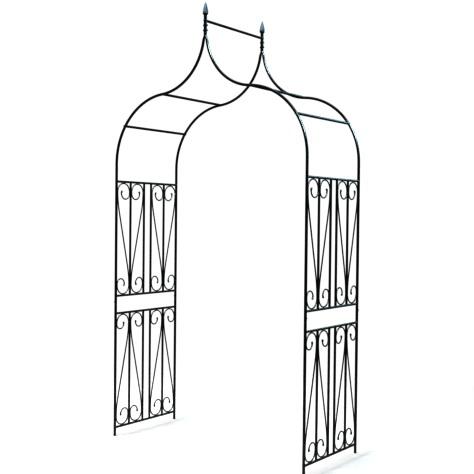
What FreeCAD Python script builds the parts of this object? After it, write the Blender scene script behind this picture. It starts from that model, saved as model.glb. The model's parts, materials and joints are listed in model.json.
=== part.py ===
import FreeCAD, Part

import math
import os

# Ogee-topped metal garden arch with scrollwork side panels, in millimetres.
# Origin: on the ground, under the middle of the arch. +X runs across the walkway to the
# right-hand panel, +Y runs through the arch from front to rear, +Z is up.
# Welded ends are coped to fit the round bar or tube that they meet, and every bolted or
# plugged joint is a real fit.

V = FreeCAD.Vector

# ---- driving dimensions -------------------------------------------------------------------

SPAN = 1200.0  # left posts to right posts, centre to centre
DEPTH = 500.0  # front frame to rear frame, centre to centre

TUBE_R = 6.5  # 13 mm frame tube with a 1.1 mm wall
TUBE_BORE_R = 5.4
SPIGOT_R = 5.3  # swaged end that slides into the next tube, 0.1 mm clear of its bore
SPIGOT_BORE_R = 4.2
RAIL_R = 5.5  # panel rails, solid 11 mm bar
BAR_R = 5.5  # upright bars of a panel, solid 11 mm bar
SCROLL_R = 3.0  # scrolls, solid 6 mm rod
CROSS_R = 6.0  # 12 mm cross rails that tie the two frames together
CROSS_BORE_R = 4.8

LOWEST_RAIL_Z = 45.0  # height of the lower panel's bottom rail
PANEL_HEIGHT = 620.0  # rail centre to rail centre
PANEL_GAP = 95.0  # lower panel's top rail to upper panel's bottom rail
CENTRE_GAP = 58.0  # a panel's two innermost bars, centre to centre

SPRING_Z = 1476.0  # where the upright posts start to curve inwards
SHOULDER_BEND_R = 350.0  # outward-bulging bend of the arch
INFLECTION_SLOPE = math.radians(4.5)  # slope where the two bends of the ogee meet
SHOULDER_RAIL_Z = 1674.0
RIDGE_Z = 2168.0

# Lengths at the plugged joints.
JOINT_REVEAL = 2.0  # spigot left showing between two tubes
SPIGOT_INSERTION = 36.0
SWAGE_LENGTH = 5.0  # wall that narrows from tube to spigot
JOINT_ABOVE_BOLT = 10.0  # shoulder joint above its cross rail's bolt, along the bend

# Apex: each ogee rail's end is pressed to a half round, and the two half rounds slip
# together into the socket of a finial post.
APEX_HALF_GAP = 0.3  # half the gap between the two rails where they would run upright
OGEE_END_SLOPE = math.radians(81.5)  # where the round tube starts to be pressed
HALF_ROUND_BOTTOM_Z = 2097.0
HALF_ROUND_LENGTH = 60.0
HALF_ROUND_FLAT_X = 0.2  # flat side, facing the other rail
HALF_ROUND_OUTER_X = 6.4
HALF_ROUND_HALF_Y = 6.1
HALF_ROUND_FLAT_CORNER_R = 1.3
HALF_ROUND_OUTER_CORNER_R = 4.85
SIDE_LEFT = 0.02  # straight left in the sides of an outline that is all but round
FINIAL_POST_R = 8.0  # 16 mm finial post
SOCKET_R = 6.9
SOCKET_BOTTOM_Z = 2098.0
SOCKET_TOP_Z = 2158.0
APEX_BOLT_ZS = (2120.0, 2145.0)

# Finial.
COLLAR_BOTTOM_Z = 2195.0
COLLAR_HEIGHT = 11.0
COLLAR_RIM = 4.5  # height of the collar's straight rim
COLLAR_TOP_R = 13.5
STUD_R = 4.0
STUD_LENGTH = 36.0
STUD_CLEARANCE = 0.1
SPEAR_BASE = 18.0  # widths of the four-sided spear across its flats
SPEAR_WIDEST = 21.5
SPEAR_WIDEST_RISE = 7.0
SPEAR_HEIGHT = 54.0
SPEAR_TIP = 1.6

# Scrolls. Each end turns along the rail in a large hook, rises beside a bar, and curls back.
WELD_GAP = 0.05
SCROLL_SIDE_R = 450.0  # slow bend from the hook to the straight
SCROLL_ENDS = {
    # end: rise, curl radius, tip radius, degrees that the tip turns past the curl
    "lower_bottom": (10.0, 29.0, 15.0, 20.0),
    "lower_top": (4.0, 27.0, 14.0, 25.0),
    "upper_bottom": (9.0, 28.0, 14.0, 45.0),
    "upper_top": (7.0, 32.0, 16.0, 40.0),
}

# Cross rail and apex bolts, M6 button head. Threads are plain cylinders.
BOLT_R = 3.0
BOLT_HOLE_R = 3.2
BOLT_GRIP_IN_RAIL = 14.0
HEAD_R = 5.25
HEAD_HEIGHT = 3.3
HEAD_EDGE = 1.0
HEAD_FLAT_R = 2.9
SOCKET_ACROSS_FLATS = 4.0
SOCKET_DEPTH = 2.0
INSERT_LENGTH = 18.0
THREAD_R = 3.05
NUT_ACROSS_FLATS = 10.0
NUT_HEIGHT = 3.2
DOME_R = 4.6
DOME_TOP_R = 1.5
DOME_HEIGHT = 2.2

# Pan-head screws through the straight post joints.
SCREW_R = 2.0
SCREW_HOLE_R = 2.1
SCREW_LENGTH = 9.0
SCREW_HEAD_R = 4.0
SCREW_HEAD_HEIGHT = 2.2
SCREW_ABOVE_JOINT = 16.0
RECESS_LENGTH = 3.6
RECESS_WIDTH = 0.8
RECESS_DEPTH = 1.1

# Foot plugs.
PLUG_FLANGE = 4.0
PLUG_FOOT_R = 5.5  # radius of the flat face on the ground
PLUG_STEM_R = 5.35
PLUG_STEM_LENGTH = 22.0

COPE_FLAT = 1.5  # a coped bar stops this far short of the other bar's centre line

# ---- values worked out from the driving dimensions ----------------------------------------

LEVELS = {
    "lower": LOWEST_RAIL_Z,
    "upper": LOWEST_RAIL_Z + PANEL_HEIGHT + PANEL_GAP,
}
SIDES = {"left": -1, "right": 1}
FRAMES = {"front": -1, "rear": 1}

POST_JOINT_Z = LOWEST_RAIL_Z + PANEL_HEIGHT + PANEL_GAP / 2

# The ogee, measured inwards from the post's centre line (u) and upwards (z).
OGEE_END_U = SPAN / 2 - TUBE_R - APEX_HALF_GAP
OGEE_BEND_R = OGEE_END_U / (1 - math.sin(INFLECTION_SLOPE)) - SHOULDER_BEND_R
OGEE_TOP_Z = SPRING_Z + (SHOULDER_BEND_R + OGEE_BEND_R) * math.cos(INFLECTION_SLOPE)
INFLECTION_ANGLE = math.pi / 2 - INFLECTION_SLOPE

SHOULDER_BOLT_ANGLE = math.asin((SHOULDER_RAIL_Z - SPRING_Z) / SHOULDER_BEND_R)
POST_END_ANGLE = SHOULDER_BOLT_ANGLE + JOINT_ABOVE_BOLT / SHOULDER_BEND_R
OGEE_START_ANGLE = POST_END_ANGLE + JOINT_REVEAL / SHOULDER_BEND_R

# Upright bars share the panel's depth so that all four scrolls have the same width.
SCROLL_SLOT = (DEPTH / 2 - CENTRE_GAP / 2 - TUBE_R - 3 * BAR_R) / 2
MIDDLE_BAR_Y = DEPTH / 2 - TUBE_R - SCROLL_SLOT - BAR_R
INNER_BAR_Y = CENTRE_GAP / 2
SCROLL_WIDTH = SCROLL_SLOT - 2 * SCROLL_R - 2 * WELD_GAP
SCROLL_HEIGHT = PANEL_HEIGHT - 2 * RAIL_R - 2 * SCROLL_R - 2 * WELD_GAP


# ---- small helpers ------------------------------------------------------------------------


def line(a, b):
    return Part.LineSegment(a, b).toShape()


def arc(a, middle, b):
    return Part.Arc(a, middle, b).toShape()


def cylinder(radius, start, end):
    axis = end - start
    return Part.makeCylinder(radius, axis.Length, start, axis)


def sweep(edges, outer_r, inner_r=0.0):
    """A rod, or a tube when inner_r is given, along edges that run tangent to each other."""
    path = Part.Wire(edges)
    start = path.OrderedVertexes[0].Point
    first = path.OrderedEdges[0]
    near, far = first.FirstParameter, first.LastParameter
    at = near if first.valueAt(near).distanceToPoint(start) < 1e-6 else far
    heading = first.tangentAt(at)

    def solid(radius):
        section = Part.Wire([Part.makeCircle(radius, start, heading)])
        return path.makePipeShell([section], True, False)

    return solid(outer_r).cut(solid(inner_r)) if inner_r else solid(outer_r)


def revolve(profile, centre, axis):
    """Turns (radius, height) points about axis through centre, height 0 being at centre."""
    points = [V(r, 0, h) for r, h in profile]
    face = Part.Face(Part.makePolygon(points + points[:1]))
    solid = face.revolve(V(0, 0, 0), V(0, 0, 1), 360)
    solid.Placement = FreeCAD.Placement(centre, FreeCAD.Rotation(V(0, 0, 1), axis))
    return solid


def hexagonal_prism(across_flats, height, centre, axis):
    corner_r = across_flats / math.sqrt(3)
    corners = [
        V(corner_r * math.cos(k * math.pi / 3), corner_r * math.sin(k * math.pi / 3), 0)
        for k in range(6)
    ]
    prism = Part.Face(Part.makePolygon(corners + corners[:1])).extrude(V(0, 0, height))
    prism.Placement = FreeCAD.Placement(centre, FreeCAD.Rotation(V(0, 0, 1), axis))
    return prism


def one_solid(shape):
    """The only solid of a boolean's result, with seams between coplanar faces removed."""
    shape = shape.removeSplitter()
    assert len(shape.Solids) == 1, len(shape.Solids)
    return shape.Solids[0]


def frame_point(side, frame, u, z):
    """A point of one end frame, u inwards from its post's centre line."""
    return V(side * (SPAN / 2 - u), frame * DEPTH / 2, z)


def shoulder_point(side, frame, angle):
    """A point on the outward-bulging bend, angle up from its start at the post."""
    u = SHOULDER_BEND_R * (1 - math.cos(angle))
    return frame_point(side, frame, u, SPRING_Z + SHOULDER_BEND_R * math.sin(angle))


def ogee_point(side, frame, slope):
    """A point on the inward bend, where the rail slopes at this angle."""
    u = OGEE_END_U - OGEE_BEND_R * (1 - math.sin(slope))
    return frame_point(side, frame, u, OGEE_TOP_Z - OGEE_BEND_R * math.cos(slope))


def shoulder_arc(side, frame, start, end):
    angles = (start, (start + end) / 2, end)
    return arc(*[shoulder_point(side, frame, angle) for angle in angles])


def drill(shape, points, axis, radius, length):
    """Holes through shape, each centred on its point."""
    for point in points:
        start = point - axis * (length / 2)
        shape = shape.cut(Part.makeCylinder(radius, length, start, axis))
    return shape


# ---- end frames ---------------------------------------------------------------------------


def joint_screw_hole(side, frame):
    """Hole through the outer wall of a post joint, for its screw."""
    centre = frame_point(side, frame, 0, POST_JOINT_Z + SCREW_ABOVE_JOINT)
    return cylinder(SCREW_HOLE_R, centre, centre + V(side * 2 * TUBE_R, 0, 0))


def lower_post(side, frame):
    """Straight tube with a swaged spigot on top, and a hole for the joint's screw."""
    top = POST_JOINT_Z - JOINT_REVEAL
    spigot_top = POST_JOINT_Z + SPIGOT_INSERTION
    profile = [
        (TUBE_BORE_R, PLUG_FLANGE),
        (TUBE_R, PLUG_FLANGE),
        (TUBE_R, top),
        (SPIGOT_R, top),
        (SPIGOT_R, spigot_top),
        (SPIGOT_BORE_R, spigot_top),
        (SPIGOT_BORE_R, top - SWAGE_LENGTH),
        (TUBE_BORE_R, top - 2 * SWAGE_LENGTH),
    ]
    base = frame_point(side, frame, 0, 0)
    post = revolve(profile, base, V(0, 0, 1))
    return one_solid(post.cut(joint_screw_hole(side, frame)))


def upper_post(side, frame):
    """Tube that slips over the lower post and curves in to the shoulder joint."""
    foot = frame_point(side, frame, 0, POST_JOINT_Z)
    spring = frame_point(side, frame, 0, SPRING_Z)
    path = [line(foot, spring), shoulder_arc(side, frame, 0, POST_END_ANGLE)]
    post = sweep(path, TUBE_R, TUBE_BORE_R)
    post = post.cut(joint_screw_hole(side, frame))
    bolt = shoulder_point(side, frame, SHOULDER_BOLT_ANGLE)
    return one_solid(drill(post, [bolt], V(0, 1, 0), BOLT_HOLE_R, 3 * TUBE_R))


def rounded_outline(low_x, high_x, half_y, low_corner_r, high_corner_r):
    """Level outline about the origin: straight sides, and corners of two radii."""
    edges = []
    for quarter in range(4):
        on_high_side = quarter in (0, 3)
        corner_r = high_corner_r if on_high_side else low_corner_r
        x = high_x - corner_r if on_high_side else low_x + corner_r
        y = (half_y - corner_r) * (1 if quarter in (0, 1) else -1)
        angles = [(quarter + k) * math.pi / 2 for k in (0, 0.5, 1)]
        points = [V(x + math.cos(a) * corner_r, y + math.sin(a) * corner_r, 0) for a in angles]
        if edges:
            edges.append(line(edges[-1].lastVertex().Point, points[0]))
        edges.append(arc(*points))
    edges.append(line(edges[-1].lastVertex().Point, edges[0].firstVertex().Point))
    return Part.Wire(edges)


def pressed_end(round_centre, y, wall):
    """Right-hand rail's taper from round to half round, and the half round above it.

    Everything lies wall inside the tube's outer surface.
    """
    radius = TUBE_R - wall
    corner_r = radius - SIDE_LEFT / 2
    round_end = rounded_outline(-radius, radius, radius, corner_r, corner_r)
    lean = math.pi / 2 - OGEE_END_SLOPE
    round_end.rotate(V(0, 0, 0), V(0, 1, 0), -math.degrees(lean))
    round_end.translate(round_centre)
    half_round = rounded_outline(
        HALF_ROUND_FLAT_X + wall,
        HALF_ROUND_OUTER_X - wall,
        HALF_ROUND_HALF_Y - wall,
        HALF_ROUND_FLAT_CORNER_R - wall,
        HALF_ROUND_OUTER_CORNER_R - wall,
    )
    half_round.translate(V(0, y, HALF_ROUND_BOTTOM_Z))
    taper = Part.makeLoft([round_end, half_round], True, True)
    return taper.fuse(Part.Face(half_round).extrude(V(0, 0, HALF_ROUND_LENGTH)))


def ogee_rail(side, frame):
    """Spigot, the rest of the shoulder bend, the inward bend, and the half round for the apex."""
    spigot_end = POST_END_ANGLE - SPIGOT_INSERTION / SHOULDER_BEND_R
    swage_end = OGEE_START_ANGLE + SWAGE_LENGTH / SHOULDER_BEND_R
    slopes = (INFLECTION_SLOPE, (INFLECTION_SLOPE + OGEE_END_SLOPE) / 2, OGEE_END_SLOPE)
    inward = arc(*[ogee_point(side, frame, slope) for slope in slopes])

    outward = shoulder_arc(side, frame, swage_end, INFLECTION_ANGLE)
    body = sweep([outward, inward], TUBE_R, TUBE_BORE_R)
    swage_path = shoulder_arc(side, frame, OGEE_START_ANGLE, swage_end)
    swage = sweep([swage_path], TUBE_R, SPIGOT_BORE_R)
    spigot_path = shoulder_arc(side, frame, spigot_end, OGEE_START_ANGLE)
    spigot = sweep([spigot_path], SPIGOT_R, SPIGOT_BORE_R)

    y = frame * DEPTH / 2
    round_centre = ogee_point(1, frame, OGEE_END_SLOPE)
    outside, inside = [pressed_end(round_centre, y, wall) for wall in (0, TUBE_R - TUBE_BORE_R)]
    pressed = outside.cut(inside)
    if side < 0:
        pressed = pressed.mirror(V(0, 0, 0), V(1, 0, 0))

    rail = body.fuse([swage, spigot, pressed])
    apex_bolts = [V(0, y, z) for z in APEX_BOLT_ZS]
    rail = drill(rail, apex_bolts, V(1, 0, 0), BOLT_HOLE_R, 2 * FINIAL_POST_R)
    cross_bolts = [
        shoulder_point(side, frame, SHOULDER_BOLT_ANGLE),
        ogee_point(side, frame, INFLECTION_SLOPE),
    ]
    return one_solid(drill(rail, cross_bolts, V(0, 1, 0), BOLT_HOLE_R, 3 * TUBE_R))


def foot_plug(side, frame):
    """Plastic plug that closes a post's lower end, with a flat foot."""
    profile = [
        (0, 0),
        (PLUG_FOOT_R, 0),
        (TUBE_R, PLUG_FLANGE / 2),
        (TUBE_R, PLUG_FLANGE),
        (PLUG_STEM_R, PLUG_FLANGE),
        (PLUG_STEM_R, PLUG_STEM_LENGTH),
        (0, PLUG_STEM_LENGTH),
    ]
    return revolve(profile, frame_point(side, frame, 0, 0), V(0, 0, 1))


# ---- side panels --------------------------------------------------------------------------


def panel_rail(side, z):
    """Level bar between the two posts, coped at both ends to their round sides."""
    x = side * SPAN / 2
    half = DEPTH / 2 - COPE_FLAT
    rail = cylinder(RAIL_R, V(x, -half, z), V(x, half, z))
    posts = [
        cylinder(TUBE_R, V(x, y, z - TUBE_R), V(x, y, z + TUBE_R))
        for y in (-DEPTH / 2, DEPTH / 2)
    ]
    return one_solid(rail.cut(posts))


def panel_bars(side, bottom_z):
    """Four upright bars, coped at both ends to the panel's rails."""
    x = side * SPAN / 2
    top_z = bottom_z + PANEL_HEIGHT
    bars = []
    for y in (-MIDDLE_BAR_Y, -INNER_BAR_Y, INNER_BAR_Y, MIDDLE_BAR_Y):
        bar = cylinder(BAR_R, V(x, y, bottom_z + COPE_FLAT), V(x, y, top_z - COPE_FLAT))
        rails = [
            cylinder(RAIL_R, V(x, y - 2 * BAR_R, z), V(x, y + 2 * BAR_R, z))
            for z in (bottom_z, top_z)
        ]
        bars.append(one_solid(bar.cut(rails)))
    return bars


def turn(centre, radius, start, stop):
    """Start, middle and end of an arc about centre, as (p, z) points."""
    return [
        (centre[0] + radius * math.cos(angle), centre[1] + radius * math.sin(angle))
        for angle in (start, (start + stop) / 2, stop)
    ]


def scroll_end(end):
    """Points of a scroll's end as if it were the lower one, from its tip to the straight.

    p runs from the scroll's outer side, where the straight starts, to its inner side.
    """
    rise, curl_r, tip_r, tip_degrees = SCROLL_ENDS[end]
    hook_r = SCROLL_WIDTH / 2
    curl_z = hook_r + rise
    curl_p = SCROLL_WIDTH - curl_r
    tip_p = curl_p - curl_r + tip_r
    middle_z = SCROLL_HEIGHT / 2 - hook_r
    side_p = SCROLL_SIDE_R - hook_r
    reach = math.hypot(side_p, middle_z)
    lean = math.atan2(middle_z, side_p) - math.acos(SCROLL_SIDE_R / reach)
    return [
        turn((tip_p, curl_z), tip_r, math.pi + math.radians(tip_degrees), math.pi),
        turn((curl_p, curl_z), curl_r, math.pi, 0),
        [(SCROLL_WIDTH, curl_z), (SCROLL_WIDTH, hook_r)],
        turn((hook_r, hook_r), hook_r, 0, -math.pi),
        turn((SCROLL_SIDE_R, hook_r), SCROLL_SIDE_R, math.pi, math.pi - lean),
    ]


def scroll(side, level, number):
    """One of the four scrolls of a panel, numbered from the front post to the rear post.

    Its straight leans away from the post or bar beside its first end, which is the bottom
    end in a lower panel and the top end in an upper one.
    """
    far_end, near_end = ("bottom", "top") if level == "lower" else ("top", "bottom")
    first = scroll_end(f"{level}_{far_end}")
    last = [
        [(SCROLL_WIDTH - p, SCROLL_HEIGHT - z) for p, z in reversed(points)]
        for points in reversed(scroll_end(f"{level}_{near_end}"))
    ]
    outline = first + [[first[-1][-1], last[0][0]]] + last

    outer_y = DEPTH / 2 - TUBE_R - SCROLL_R - WELD_GAP
    inner_y = INNER_BAR_Y + BAR_R + SCROLL_R + WELD_GAP
    start_y = {1: -outer_y, 2: -inner_y, 3: inner_y, 4: outer_y}[number]
    towards_middle_bar = 1 if number in (1, 3) else -1
    bottom_z = LEVELS[level] + RAIL_R + SCROLL_R + WELD_GAP

    def place(point):
        p, z = point
        height = z if level == "lower" else SCROLL_HEIGHT - z
        return V(side * SPAN / 2, start_y + towards_middle_bar * p, bottom_z + height)

    edges = []
    for points in outline:
        placed = [place(point) for point in points]
        edges.append(line(*placed) if len(placed) == 2 else arc(*placed))
    return sweep(edges, SCROLL_R)


# ---- cross rails --------------------------------------------------------------------------


def cross_rail_places():
    """Name of each cross rail and the (x, z) of its axis."""
    places = {"ridge_rail": V(0, 0, RIDGE_Z)}
    for name, side in SIDES.items():
        places[f"{name}_shoulder_rail"] = shoulder_point(side, 0, SHOULDER_BOLT_ANGLE)
        places[f"{name}_ogee_rail"] = ogee_point(side, 0, INFLECTION_SLOPE)
    return places


def frame_outline_solids(side):
    """Solid rods on the centre lines of both frames' bends, to cope the cross rails with."""
    rods = []
    for frame in FRAMES.values():
        outward = shoulder_arc(side, frame, 0, INFLECTION_ANGLE)
        slopes = (INFLECTION_SLOPE, 2 * INFLECTION_SLOPE, 3 * INFLECTION_SLOPE)
        inward = arc(*[ogee_point(side, frame, slope) for slope in slopes])
        rods.append(sweep([outward, inward], TUBE_R))
    return rods


def upright_r(place):
    """Radius of what a cross rail is bolted to: a finial post at the ridge, or else a tube."""
    return FINIAL_POST_R if place.x == 0 else TUBE_R


def cross_rail(place):
    """Tube between the two frames, coped at both ends to the tubes or finial posts."""
    half = V(0, DEPTH / 2, 0)
    rail = sweep([line(place - half, place + half)], CROSS_R, CROSS_BORE_R)
    if place.x == 0:
        reach = V(0, 0, 2 * CROSS_R)
        ends = (place - half, place + half)
        meets = [cylinder(FINIAL_POST_R, end - reach, end + reach) for end in ends]
    else:
        meets = frame_outline_solids(1 if place.x > 0 else -1)
    middle = max(rail.cut(meets).Solids, key=lambda solid: solid.Volume)
    return one_solid(middle)


def thread_insert(place, frame):
    """Tapped plug pressed into one end of a cross rail."""
    end = place + V(0, frame * (DEPTH / 2 - upright_r(place)), 0)
    inner = end - V(0, frame * INSERT_LENGTH, 0)
    return cylinder(CROSS_BORE_R, inner, end).cut(cylinder(THREAD_R, inner, end))


def button_bolt(seat, inwards, shank_length):
    """Button-head socket bolt whose head sits on seat and whose shank runs inwards."""
    head = [(0, 0), (HEAD_R, 0), (HEAD_R, HEAD_EDGE), (HEAD_FLAT_R, HEAD_HEIGHT), (0, HEAD_HEIGHT)]
    outwards = inwards * -1
    socket_floor = seat + outwards * (HEAD_HEIGHT - SOCKET_DEPTH)
    bolt = revolve(head, seat, outwards)
    bolt = bolt.fuse(cylinder(BOLT_R, seat, seat + inwards * shank_length))
    socket = hexagonal_prism(SOCKET_ACROSS_FLATS, HEAD_HEIGHT, socket_floor, outwards)
    return one_solid(bolt.cut(socket))


def cross_rail_bolt(place, frame):
    seat = place + V(0, frame * (DEPTH / 2 + upright_r(place)), 0)
    return button_bolt(seat, V(0, -frame, 0), 2 * upright_r(place) + BOLT_GRIP_IN_RAIL)


# ---- apex and finials ---------------------------------------------------------------------


def finial_post(frame):
    """Round post with a socket below for the two half rounds and a stud above for the finial."""
    profile = [
        (0, SOCKET_TOP_Z),
        (SOCKET_R, SOCKET_TOP_Z),
        (SOCKET_R, SOCKET_BOTTOM_Z),
        (FINIAL_POST_R, SOCKET_BOTTOM_Z),
        (FINIAL_POST_R, COLLAR_BOTTOM_Z),
        (STUD_R, COLLAR_BOTTOM_Z),
        (STUD_R, COLLAR_BOTTOM_Z + STUD_LENGTH),
        (0, COLLAR_BOTTOM_Z + STUD_LENGTH),
    ]
    y = frame * DEPTH / 2
    post = revolve(profile, V(0, y, 0), V(0, 0, 1))
    apex_bolts = [V(0, y, z) for z in APEX_BOLT_ZS]
    post = drill(post, apex_bolts, V(1, 0, 0), BOLT_HOLE_R, 3 * FINIAL_POST_R)
    ridge_hole = [V(0, y, RIDGE_Z)]
    return one_solid(drill(post, ridge_hole, V(0, 1, 0), BOLT_HOLE_R, 3 * FINIAL_POST_R))


def finial_collar(frame):
    """Flared cup between post and spear."""
    bore = STUD_R + STUD_CLEARANCE
    profile = [
        (bore, 0),
        (FINIAL_POST_R, 0),
        (COLLAR_TOP_R, COLLAR_HEIGHT - COLLAR_RIM),
        (COLLAR_TOP_R, COLLAR_HEIGHT),
        (bore, COLLAR_HEIGHT),
    ]
    return revolve(profile, V(0, frame * DEPTH / 2, COLLAR_BOTTOM_Z), V(0, 0, 1))


def square_outline(width, centre):
    half = width / 2
    corners = [V(-half, -half, 0), V(half, -half, 0), V(half, half, 0), V(-half, half, 0)]
    corners = [centre + corner for corner in corners]
    return Part.makePolygon(corners + corners[:1])


def finial(frame):
    """Four-sided spear, tapped from below for the post's stud."""
    base = V(0, frame * DEPTH / 2, COLLAR_BOTTOM_Z + COLLAR_HEIGHT)
    sections = [
        (SPEAR_BASE, 0),
        (SPEAR_WIDEST, SPEAR_WIDEST_RISE),
        (SPEAR_TIP, SPEAR_HEIGHT),
    ]
    wires = [square_outline(width, base + V(0, 0, rise)) for width, rise in sections]
    spear = Part.makeLoft(wires, True, True)
    stud_space = STUD_LENGTH - COLLAR_HEIGHT + 1
    hole = cylinder(STUD_R + STUD_CLEARANCE, base, base + V(0, 0, stud_space))
    return one_solid(spear.cut(hole))


def apex_bolt(frame, z):
    """Holds both half rounds in the socket, head on the left, nut on the right."""
    seat = V(-FINIAL_POST_R, frame * DEPTH / 2, z)
    return button_bolt(seat, V(1, 0, 0), 2 * FINIAL_POST_R + NUT_HEIGHT)


def dome_nut(frame, z):
    seat = V(FINIAL_POST_R, frame * DEPTH / 2, z)
    outwards = V(1, 0, 0)
    nut = hexagonal_prism(NUT_ACROSS_FLATS, NUT_HEIGHT, seat, outwards)
    dome = [
        (0, NUT_HEIGHT),
        (DOME_R, NUT_HEIGHT),
        (0.8 * DOME_R, NUT_HEIGHT + 0.7 * DOME_HEIGHT),
        (DOME_TOP_R, NUT_HEIGHT + DOME_HEIGHT),
        (0, NUT_HEIGHT + DOME_HEIGHT),
    ]
    bore = cylinder(THREAD_R, seat, seat + outwards * NUT_HEIGHT)
    return one_solid(nut.fuse(revolve(dome, seat, outwards)).cut(bore))


def joint_screw(side, frame):
    """Pan-head screw from outside through the upper post into the lower post's spigot."""
    seat = frame_point(side, frame, -TUBE_R, POST_JOINT_Z + SCREW_ABOVE_JOINT)
    outwards = V(side, 0, 0)
    head = [
        (0, 0),
        (SCREW_HEAD_R, 0),
        (SCREW_HEAD_R, SCREW_HEAD_HEIGHT / 2),
        (0.7 * SCREW_HEAD_R, SCREW_HEAD_HEIGHT),
        (0, SCREW_HEAD_HEIGHT),
    ]
    shank = cylinder(SCREW_R, seat, seat - outwards * SCREW_LENGTH)
    screw = revolve(head, seat, outwards).fuse(shank)
    recess_middle = seat + outwards * SCREW_HEAD_HEIGHT
    for y_size, z_size in ((RECESS_LENGTH, RECESS_WIDTH), (RECESS_WIDTH, RECESS_LENGTH)):
        corner = recess_middle - V(RECESS_DEPTH, y_size / 2, z_size / 2)
        screw = screw.cut(Part.makeBox(2 * RECESS_DEPTH, y_size, z_size, corner))
    return one_solid(screw)


# ---- every node ---------------------------------------------------------------------------


def all_nodes():
    nodes = {}
    for frame_name, frame in FRAMES.items():
        for side_name, side in SIDES.items():
            corner = f"{frame_name}_{side_name}"
            nodes[f"{corner}_foot_plug"] = [foot_plug(side, frame)]
            nodes[f"{corner}_lower_post"] = [lower_post(side, frame)]
            nodes[f"{corner}_upper_post"] = [upper_post(side, frame)]
            nodes[f"{corner}_arch_rail"] = [ogee_rail(side, frame)]
        nodes[f"{frame_name}_finial_post"] = [finial_post(frame)]
        nodes[f"{frame_name}_finial_collar"] = [finial_collar(frame)]
        nodes[f"{frame_name}_finial"] = [finial(frame)]
    for side_name, side in SIDES.items():
        for level, bottom_z in LEVELS.items():
            panel = f"{side_name}_{level}_panel"
            nodes[f"{panel}_bottom_rail"] = [panel_rail(side, bottom_z)]
            nodes[f"{panel}_top_rail"] = [panel_rail(side, bottom_z + PANEL_HEIGHT)]
            nodes[f"{panel}_bars"] = panel_bars(side, bottom_z)
            for number in (1, 2, 3, 4):
                nodes[f"{panel}_scroll_{number}"] = [scroll(side, level, number)]
    places = cross_rail_places()
    for name, place in places.items():
        nodes[name] = [cross_rail(place)]
    ends = [(place, frame) for place in places.values() for frame in FRAMES.values()]
    nodes["cross_rail_thread_inserts"] = [thread_insert(*end) for end in ends]
    nodes["cross_rail_bolts"] = [cross_rail_bolt(*end) for end in ends]
    apexes = [(frame, z) for frame in FRAMES.values() for z in APEX_BOLT_ZS]
    nodes["apex_bolts"] = [apex_bolt(*apex) for apex in apexes]
    nodes["apex_nuts"] = [dome_nut(*apex) for apex in apexes]
    corners = [(side, frame) for side in SIDES.values() for frame in FRAMES.values()]
    nodes["post_joint_screws"] = [joint_screw(*corner) for corner in corners]
    return nodes


def main():
    os.makedirs("parts", exist_ok=True)
    for name, solids in all_nodes().items():
        for solid in solids:
            assert solid.isValid() and solid.Volume > 0, name
        shape = solids[0] if len(solids) == 1 else Part.makeCompound(solids)
        shape.exportStep(f"parts/{name}.step")
        print(f"{name}: {len(solids)} solids, {shape.Volume:.0f} mm3")


main()
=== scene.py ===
"""Looks of an ogee-topped garden arch: powder-coated steel, weld beads, cast finials, studio and camera."""

import json
import math

import bmesh
import bpy
from mathutils import Matrix, Vector, noise
from mathutils.bvhtree import BVHTree

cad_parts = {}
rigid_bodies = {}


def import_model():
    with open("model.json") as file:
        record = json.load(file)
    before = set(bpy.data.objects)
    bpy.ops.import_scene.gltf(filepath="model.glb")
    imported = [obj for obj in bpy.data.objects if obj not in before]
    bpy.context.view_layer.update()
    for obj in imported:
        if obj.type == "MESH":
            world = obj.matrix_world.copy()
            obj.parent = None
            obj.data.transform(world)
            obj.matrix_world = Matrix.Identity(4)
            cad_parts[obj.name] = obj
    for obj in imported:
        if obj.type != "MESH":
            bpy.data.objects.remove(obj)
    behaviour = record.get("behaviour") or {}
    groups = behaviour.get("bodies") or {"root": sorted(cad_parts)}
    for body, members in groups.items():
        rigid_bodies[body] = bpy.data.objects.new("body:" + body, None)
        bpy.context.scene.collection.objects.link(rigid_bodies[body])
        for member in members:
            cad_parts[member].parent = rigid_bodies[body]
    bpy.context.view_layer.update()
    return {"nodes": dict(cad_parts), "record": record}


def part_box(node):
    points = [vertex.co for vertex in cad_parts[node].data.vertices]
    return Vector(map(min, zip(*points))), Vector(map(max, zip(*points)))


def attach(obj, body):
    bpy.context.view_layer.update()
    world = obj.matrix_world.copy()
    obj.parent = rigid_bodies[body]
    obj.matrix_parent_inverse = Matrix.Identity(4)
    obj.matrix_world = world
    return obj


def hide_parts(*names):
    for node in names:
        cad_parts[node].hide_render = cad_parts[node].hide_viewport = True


for leftover in list(bpy.data.objects):
    bpy.data.objects.remove(leftover)
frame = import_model()

MM = 0.001
SIDES = ("left", "right")
LEVELS = ("lower", "upper")
FRAMES = ("front", "rear")
ACROSS = Vector((1, 0, 0))  # from the left panels to the right ones
ALONG = Vector((0, 1, 0))  # from the front frame to the rear one
UP = Vector((0, 0, 1))

# ---- driving sizes ------------------------------------------------------------------------

MERGE_DISTANCE = 0.001 * MM
SHARP_ANGLE = math.radians(50)

BAR_WELD_R = 1.25 * MM  # bead round the end of a panel's upright bar
RAIL_WELD_R = 1.6 * MM  # bead where a panel rail meets a post
RIPPLE_PITCH = 1.7 * MM
BEAD_RIPPLE = 0.08  # height of the ripples, as a share of the bead's radius
BEAD_LUMP = 0.22  # slower unevenness, as a share of the bead's radius
BEAD_LUMP_PITCH = 3.5 * MM
BEAD_THIN_SHARE = 0.62  # radius on the sides that a torch hardly reaches
BEAD_STEP = 0.45 * MM
BEAD_SIDES = 8
SADDLE_POINTS = 96
COPE_FLAT = 1.5 * MM  # a coped bar stops this far short of the other bar's centre line

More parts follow.
